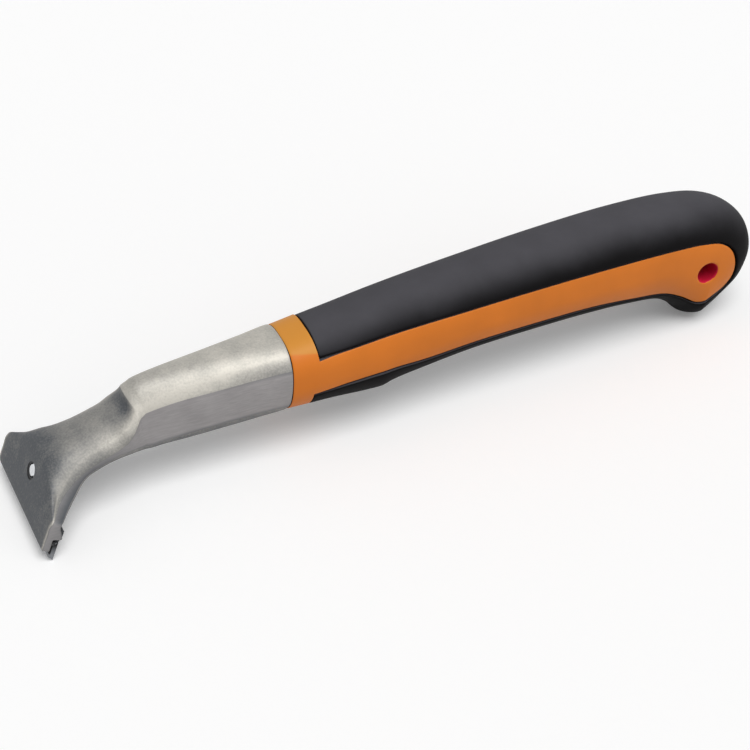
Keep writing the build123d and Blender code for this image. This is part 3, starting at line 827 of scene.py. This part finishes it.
class SCRAPER_OT_core(bpy.types.Operator):
    """Hard core: ring, side panels and the bush of the hang hole"""
    bl_idname = "scraper.core"
    bl_label = "Ring and side panels"

    def execute(self, context):
        depth = context.scene.scraper.panel_depth
        split = int(np.argmax(BORDER_PATH[:, 0]))
        high_border, low_border = BORDER_PATH[:split + 1], BORDER_PATH[split:][::-1]
        pommel = low_border[low_border[:, 0] > 140]
        nose, tip = BORDER_PATH[split, 0], pommel[np.argmin(pommel[:, 1]), 0]
        # stations from the ring's front, whose edge is rounded, to the nose of the panel
        ring = np.array([(0.0, 2.5), (0.0, 0.4), (0.1, 0.15), (0.35, 0.0)]
                        + [(s, 0.0) for s in np.linspace(0.9, RING_END, 9)])
        stations = list(ring[:, 0]) + [RING_END + k for k in (0.02, 0.1, 0.25, 0.5, 0.9, 1.4)]
        stations += list(np.linspace(10, tip - 8, 75)) + list(np.linspace(tip - 7, nose - 1.4, 50))
        stations += [nose - k for k in (1.1, 0.85, 0.65, 0.48, 0.34, 0.22, 0.12, 0.05, 0.015)]
        stations = np.array(stations)
        on_ring = stations <= RING_END
        high_s, low_s = front_place(stations, UPPER_FRONT[0]), front_place(stations, LOWER_FRONT[0])
        high = np.interp(np.maximum(high_s, UPPER_FRONT[0]), high_border[:, 0], high_border[:, 1])
        low = np.interp(np.maximum(low_s, LOWER_FRONT[0]), low_border[:, 0], low_border[:, 1])
        edges = np.array([0, 0, 0.06, 0.16, 0.32, 0.65, 1.05, 1.6])
        narrow = np.clip((high - low) / 3.4, 0.02, 1)[:, None]
        upper, lower = high[:, None] - edges * narrow, low[:, None] + edges[::-1] * narrow
        middle = upper[:, -1:] + (lower[:, :1] - upper[:, -1:]) * np.linspace(0, 1, 22)[None, 1:-1]
        t = np.hstack([upper, middle, lower])
        share = (t - low[:, None]) / (high - low)[:, None]
        s = low_s[:, None] + (high_s - low_s)[:, None] * share
        border = np.vstack([high_border[high_border[:, 0] > UPPER_FRONT[0]],
                            low_border[low_border[:, 0] > LOWER_FRONT[0]][::-1]])
        corner_high, corner_low = [(UPPER_FRONT[0], high[0])], [(LOWER_FRONT[0], low[0])]
        sunk = np.interp(distance_to(np.vstack([corner_high, border, corner_low]), s, t), *PANEL_LIP)
        sunk[:, 0] = sunk[:, -1] = WALL
        sunk[on_ring] = 0
        y = panel_width(stations[:, None], s, t, depth) - sunk
        scale = np.ones(len(stations))
        scale[:len(ring)] = 1 - ring[:, 1] / RING_REACH
        t, y = t * scale[:, None], y * scale[:, None]
        pieces = []
        for sign in (-1, 1):
            panel = skin("panel", along(s, sign * y, t))
            paint(panel, orange_polypropylene, black_elastomer)
            # the front wall at the collar and the walls down into the groove get the black elastomer, as painted
            # shade in the joint and the groove
            pieces.append(finish_strips(panel, s, [0, 1], [0, -1], 1))
        pieces += [self.arc(ring, high[0], UPPER_FRONT, 1), self.arc(ring, low[0], LOWER_FRONT, -1)]
        piece = join(pieces, "core_ring_and_panels")
        thicken(piece, CORE_WALL, merge=0.004)
        self.hole(piece, depth)
        return {"FINISHED"}

    def arc(self, ring, corner, fronts, upward):
        """The ring's skin over the top or underneath, between the two side panels."""
        rows = np.vstack([ring, [(RING_END, 2.5)]])
        half_width, top, bottom = ring_size(rows[:, 0])
        middle = (top + bottom) / 2
        height = top - middle if upward > 0 else middle - bottom
        power = UPPER_RING if upward > 0 else LOWER_RING
        start = np.arcsin(np.clip(np.abs(corner - middle) / height, 0, 1) ** (power / 2))
        angle = start[:, None] + (pi - 2 * start)[:, None] * np.linspace(0, 1, 61)[None, :]
        y = -half_width[:, None] * np.sign(np.cos(angle)) * np.abs(np.cos(angle)) ** (2 / power)
        t = middle[:, None] + upward * height[:, None] * np.sin(angle) ** (2 / power)
        share = np.clip((t - corner) / (upward * height + middle - corner)[:, None], 0, 1)
        s = rows[:, :1] / RING_END * (fronts[0] + (fronts[1] - fronts[0]) * share)
        scale = (1 - rows[:, 1] / RING_REACH)[:, None]
        piece = skin("ring", along(s, y * scale, t * scale))
        paint(piece, orange_polypropylene, black_elastomer)
        # the front wall at the collar and the rear wall get the black elastomer, as painted shade in the joints
        return finish_strips(piece, s, [0, 1, -1], [], 1)

    def hole(self, piece, depth):
        """Cuts the hang hole and gives it a bush with rounded mouths, painted deep red inside as painted shade."""
        # how far out of the hole, and how deep below the panel, the mouth's rounding passes
        mouth = [(0.95, 0.0), (0.7, 0.02), (0.5, 0.07), (0.32, 0.16), (0.16, 0.32), (0.05, 0.55),
                 (0.0, 0.85), (0.0, 1.4), (0.0, 3.0)]
        drill = primitive("drill", bpy.ops.mesh.primitive_cylinder_add, vertices=96,
                          radius=(HANG_RADIUS + mouth[0][0]) * MM, depth=60 * MM)
        place = Matrix.Translation(along(HOLE_S, 0, HOLE_T) * MM)
        drill.data.transform(place @ Matrix.Rotation(pi / 2, 4, "X"))
        cut(piece, drill)
        angle = np.linspace(0, 2 * pi, 97)
        rings = []
        for sign in (-1, 1):
            side = []
            for out, below in mouth:
                s = HOLE_S + (HANG_RADIUS + out) * np.cos(angle)
                t = HOLE_T + (HANG_RADIUS + out) * np.sin(angle)
                side.append(along(s, sign * (panel_width(s, s, t, depth) - below), t))
            rings += side if sign < 0 else side[::-1]
        bush = skin("hang_hole_bush", np.stack(rings))
        close_mesh(bush, merge=0.001, fill=False)
        paint(bush, orange_polypropylene, red_hole_shade)
        place_on(bush, "body", "hard_plastic")
        inner = (grip_width(HOLE_S, HOLE_T) - depth - 0.3) * MM
        # the faces deep in the hole get the red painted shade
        finish_faces(bush, lambda place, normal: abs(place.y) < inner, 1)
        smooth(bush, 60)
        smooth(piece, 40)
        place_on(piece, "body", "hard_plastic", "handle_core")


class SCRAPER_OT_grip(bpy.types.Operator):
    """Soft grip moulded over the core"""
    bl_idname = "scraper.grip"
    bl_label = "Soft grip"

    def execute(self, context):
        groove = context.scene.scraper.groove_width
        border, profile = BORDER_PATH, PROFILE_PATH
        # rows: finely spaced at both front edges, then along the paths
        front, front_depth = (np.array(side) for side in FRONT_LIP)
        front, front_depth = np.append([-0.7, 0.0], front), np.append([WALL, WALL], front_depth)
        starts = self.fronts(front + groove / 2, border[:60], profile[:60], UPPER_FRONT)
        ends = self.fronts(front + groove / 2, border[::-1][:60], profile[::-1][:60], LOWER_FRONT)[:, ::-1]
        inside = (border[:, 0] > UPPER_FRONT[0] + 1.6) & (profile[:, 0] > UPPER_FRONT[0] + 1.6)
        border_rows, profile_rows = (np.vstack([starts[part], path[inside], ends[part]])
                                     for part, path in enumerate((border, profile)))
        shrink = np.concatenate([front_depth, np.zeros(inside.sum()), front_depth[::-1]])
        # columns: finely spaced at the panel's border, then up to the outline
        span = profile_rows - border_rows
        length = np.linalg.norm(span, axis=1)
        near, near_depth = (np.array(side) for side in GRIP_LIP)
        near, near_depth = np.append([-0.9, 0.0], near), np.append([WALL + 0.2, WALL], near_depth)
        tangent = np.gradient(border_rows, axis=0)
        tangent /= np.maximum(np.linalg.norm(tangent, axis=1), 1e-9)[:, None]
        outward = np.abs(span[:, 0] * tangent[:, 1] - span[:, 1] * tangent[:, 0]) / length
        share = (near[None, :] + groove) / (length * np.clip(outward, 0.5, 1))[:, None]
        rest = np.linspace(0, 1, 27)[1:]
        share = np.hstack([share, share[:, -1:] + (1 - share[:, -1:]) * (1 - (1 - rest) ** 2.2)[None, :]])
        s = border_rows[:, :1] + span[:, :1] * share
        t = border_rows[:, 1:] + span[:, 1:] * share
        y = grip_width(s, t)
        y[:, -1] = 0
        y[:, :len(near)] -= near_depth[None, :]
        # the front edges are drawn in towards the middle of the handle
        scale = (1 - shrink / GRIP_REACH)[:, None]
        y *= scale
        t = GRIP_MIDDLE + (t - GRIP_MIDDLE) * scale
        # from the near panel's border over the outline to the far one's
        s, y, t = (np.hstack([sign * part, part[:, -2::-1]]) for part, sign in ((s, 1), (y, -1), (t, 1)))
        piece = skin("soft_grip", along(s, y, t))
        thicken(piece, GRIP_WALL, merge=0.002)
        smooth(piece, 40)
        paint(piece, black_elastomer)
        place_on(piece, "body", "soft_grip", "rubber_grip")
        return {"FINISHED"}

    def fronts(self, distances, border, profile, fronts):
        """Points of the border and of the outline at some distances behind the grip's leaning front."""
        return np.array([[(front + distance, np.interp(front + distance, path[:, 0], path[:, 1]))
                          for distance in distances] for path, front in zip((border, profile), fronts)])


class SCRAPER_OT_clamp(bpy.types.Operator):
    """Blade, clamp plate, washer and screw"""
    bl_idname = "scraper.clamp"
    bl_label = "Blade and clamp"

    def execute(self, context):
        self.blade()
        self.clamp()
        self.screw()
        paint(frame["nodes"]["spring_washer"], bright_zinc_steel)
        return {"FINISHED"}

    def blade(self):
        """Reversible strip with a honed bevel at both edges."""
        low, high = BLADE_EDGES
        front, back = BLADE_FACES
        piece = extrude_across("carbide_strip", [
            (back, low), (back, high), (front, high - BLADE_BEVEL), (front, low + BLADE_BEVEL)], HALF_WIDTH)
        round_edges(piece, 0.05, 2, 25)
        smooth(piece, 25)
        paint(piece, ground_carbide, honed_carbide)
        place_on(piece, "blade", "carbide", "carbide_blade")
        slope = abs(PLATE_NORMAL[0])
        finish_faces(piece, lambda place, normal: abs(normal.y) < 0.5 and abs(
            normal.x * PLATE_NORMAL[0] + normal.z * PLATE_NORMAL[2]) < slope * 0.95, 1)

    def clamp(self):
        """Pressed clamp plate: a wide jaw on the blade and a narrow tongue under the screw."""
        jaw = BLADE_FACES[1] + 0.1
        piece = extrude_across("clamp_jaw_plate", [
            (jaw, -14.9), (jaw + 0.5, -15.0), (6.4, -12.9), (7.0, -11.2), (7.3, -10.2), (7.3, -8.2),
            (6.0, -7.8), (6.0, -9.0), (jaw + 0.65, -9.9), (jaw, -10.6)], JAW_HALF_WIDTH)
        round_edges(piece, 0.22, 3, 30)
        tongue = block("tongue", TONGUE, TONGUE_PLACE)
        weights = tongue.data.attributes.new("bevel_weight_edge", "FLOAT", "EDGE")
        for edge in tongue.data.edges:
            start, end = (tongue.data.vertices[index].co for index in edge.vertices)
            weights.data[edge.index].value = abs((start - end).normalized().dot(Vector(PLATE_NORMAL))) > 0.9
        modify(tongue, "BEVEL", width=2.5 * MM, segments=8, limit_method="WEIGHT")
        round_edges(tongue, 0.25, 3, 60)
        unite(piece, tongue)
        cut(piece, round_bar("clearance", CLEARANCE_RADIUS, 4, 12))
        smooth(piece, 30)
        paint(piece, black_oxide_steel)
        place_on(piece, "clamp", "black_steel", "clamp_plate")

    def screw(self):
        """Screw with a rolled thread, a faced end and a socket head."""
        steps = np.arange(SCREW_TIP + 0.35, SCREW_SEAT, THREAD_PITCH / 8)
        depth = np.array([SCREW_TIP] + list(steps) + [SCREW_SEAT + 0.3])
        angle = np.linspace(0, 2 * pi, 49)
        phase = (depth[:, None] / THREAD_PITCH - angle[None, :] / (2 * pi)) % 1
        radius = THREAD_RADIUS - THREAD_DEPTH * np.abs(2 * phase - 1) ** 1.5
        radius[0] = THREAD_RADIUS - THREAD_DEPTH
        radius[-1] = THREAD_RADIUS - 0.25
        x, y, z = np.broadcast_arrays(radius * np.cos(angle), radius * np.sin(angle), depth[:, None])
        piece = skin("clamp_cap_screw", np.stack([x, y, z], axis=2))
        close_mesh(piece, merge=0.001)
        piece.data.transform(SCREW_PLACE)
        head = round_bar("head", SCREW_HEAD_RADIUS, SCREW_SEAT, SCREW_SEAT + SCREW_HEAD_HEIGHT, vertices=72)
        round_edges(head, 0.45, 4, 60)
        unite(piece, head)
        cut(piece, round_bar("socket", SOCKET_RADIUS, SCREW_SEAT + SOCKET_FLOOR, SCREW_SEAT + 5, vertices=6))
        smooth(piece, 30)
        paint(piece, bright_zinc_steel)
        place_on(piece, "screw", "zinc_steel", "clamp_screw")


class SCRAPER_OT_stage(bpy.types.Operator):
    """Floor, soft lights, pale surroundings and the camera"""
    bl_idname = "scraper.stage"
    bl_label = "Stage"

    def execute(self, context):
        scene = context.scene
        scene.view_settings.view_transform = "Standard"
        floor = primitive("floor", bpy.ops.mesh.primitive_plane_add, size=8, location=(0, 0, -0.0002))
        floor.data.materials.append(finish_material("pale_floor", self.floor))
        scene.world = bpy.data.worlds.new("studio")
        scene.world.use_nodes = True
        scene.world.node_tree.nodes.clear()
        node = partial(add_node, scene.world.node_tree)
        soft = node("Background", inputs={"Color": (1, 1, 1, 1), "Strength": 0.3})
        white = node("Background", inputs={"Color": (1, 1, 1, 1), "Strength": 1.0})
        world = node("MixShader", inputs={0: self.seen(node), 1: (soft, 0), 2: (white, 0)})
        node("OutputWorld", inputs={"Surface": (world, 0)})
        self.lamp("overhead", (0.10, -0.38, 0.92), 40, 1.9)
        self.lamp("side_fill", (0.5, -0.8, 0.35), 50, 0.45)
        self.camera(scene)
        return {"FINISHED"}

    def seen(self, node):
        """1 for what the camera sees, straight on, mirrored or through something."""
        rays = node("LightPath")
        mirrored = node("Math", {"operation": "MAXIMUM"}, {
            0: (rays, "Is Camera Ray"), 1: (rays, "Is Glossy Ray")})
        return node("Math", {"operation": "MAXIMUM"}, {
            0: (mirrored, 0), 1: (rays, "Is Transmission Ray")}), 0

    def floor(self, node):
        """Pale floor that keeps the shadow: white to the eye, greyer in the light it throws back."""
        share = self.seen(node)
        tone = node("Mix", {"data_type": "RGBA"}, {
            0: share, 6: linear("#C8C8C8"), 7: linear("#F8F8F8")})
        glow = node("Math", {"operation": "MULTIPLY"}, {0: share, 1: 0.12})
        return {"Base Color": (tone, 2), "Roughness": 0.9, "Specular IOR Level": 0.1,
                "Emission Color": (1, 1, 1, 1), "Emission Strength": (glow, 0)}

    def lamp(self, name, place, spread, power):
        """Wide soft light from far away, so that the floor is lit evenly."""
        data = bpy.data.lights.new(name, "SUN")
        data.angle = radians(spread)
        data.energy = power
        lamp = bpy.data.objects.new(name, data)
        bpy.context.scene.collection.objects.link(lamp)
        lamp.location = place
        lamp.rotation_euler = (-Vector(place)).to_track_quat("-Z", "Y").to_euler()

    def camera(self, scene):
        """Camera on the near side, towards the head, looking down on the tool."""
        data = bpy.data.cameras.new("camera")
        data.lens = 97.25
        data.sensor_width = 36
        camera = bpy.data.objects.new("camera", data)
        scene.collection.objects.link(camera)
        azimuth, elevation, roll, distance = radians(22.905), radians(39.942), radians(-2.125), 0.7101
        target = Vector((-0.0100, 0, 0.0130))
        away = Vector((sin(azimuth) * cos(elevation), cos(azimuth) * cos(elevation), -sin(elevation)))
        camera.location = target - away * distance
        turn = away.to_track_quat("-Z", "Y").to_matrix() @ Matrix.Rotation(roll, 3, "Z")
        camera.rotation_euler = turn.to_euler()
        scene.camera = camera


class SCRAPER_PT_panel(bpy.types.Panel):
    """Sizes, colours and the buttons that build each piece"""
    bl_label = "Paint scraper"
    bl_idname = "SCRAPER_PT_panel"
    bl_space_type = "VIEW_3D"
    bl_region_type = "UI"
    bl_category = "Scraper"

    def draw(self, context):
        for name in ScraperSettings.__annotations__:
            self.layout.prop(context.scene.scraper, name)
        for operator in OPERATORS:
            self.layout.operator(operator.bl_idname)


OPERATORS = (SCRAPER_OT_head, SCRAPER_OT_core, SCRAPER_OT_grip, SCRAPER_OT_clamp, SCRAPER_OT_stage)
CLASSES = (ScraperSettings,) + OPERATORS + (SCRAPER_PT_panel,)


def register():
    for cls in CLASSES:
        bpy.utils.register_class(cls)
    bpy.types.Scene.scraper = PointerProperty(type=ScraperSettings)


def unregister():
    del bpy.types.Scene.scraper
    for cls in reversed(CLASSES):
        bpy.utils.unregister_class(cls)


def main():
    register()
    bpy.ops.scraper.head()
    bpy.ops.scraper.core()
    bpy.ops.scraper.grip()
    bpy.ops.scraper.clamp()
    bpy.ops.scraper.stage()


if __name__ == "__main__":
    main()
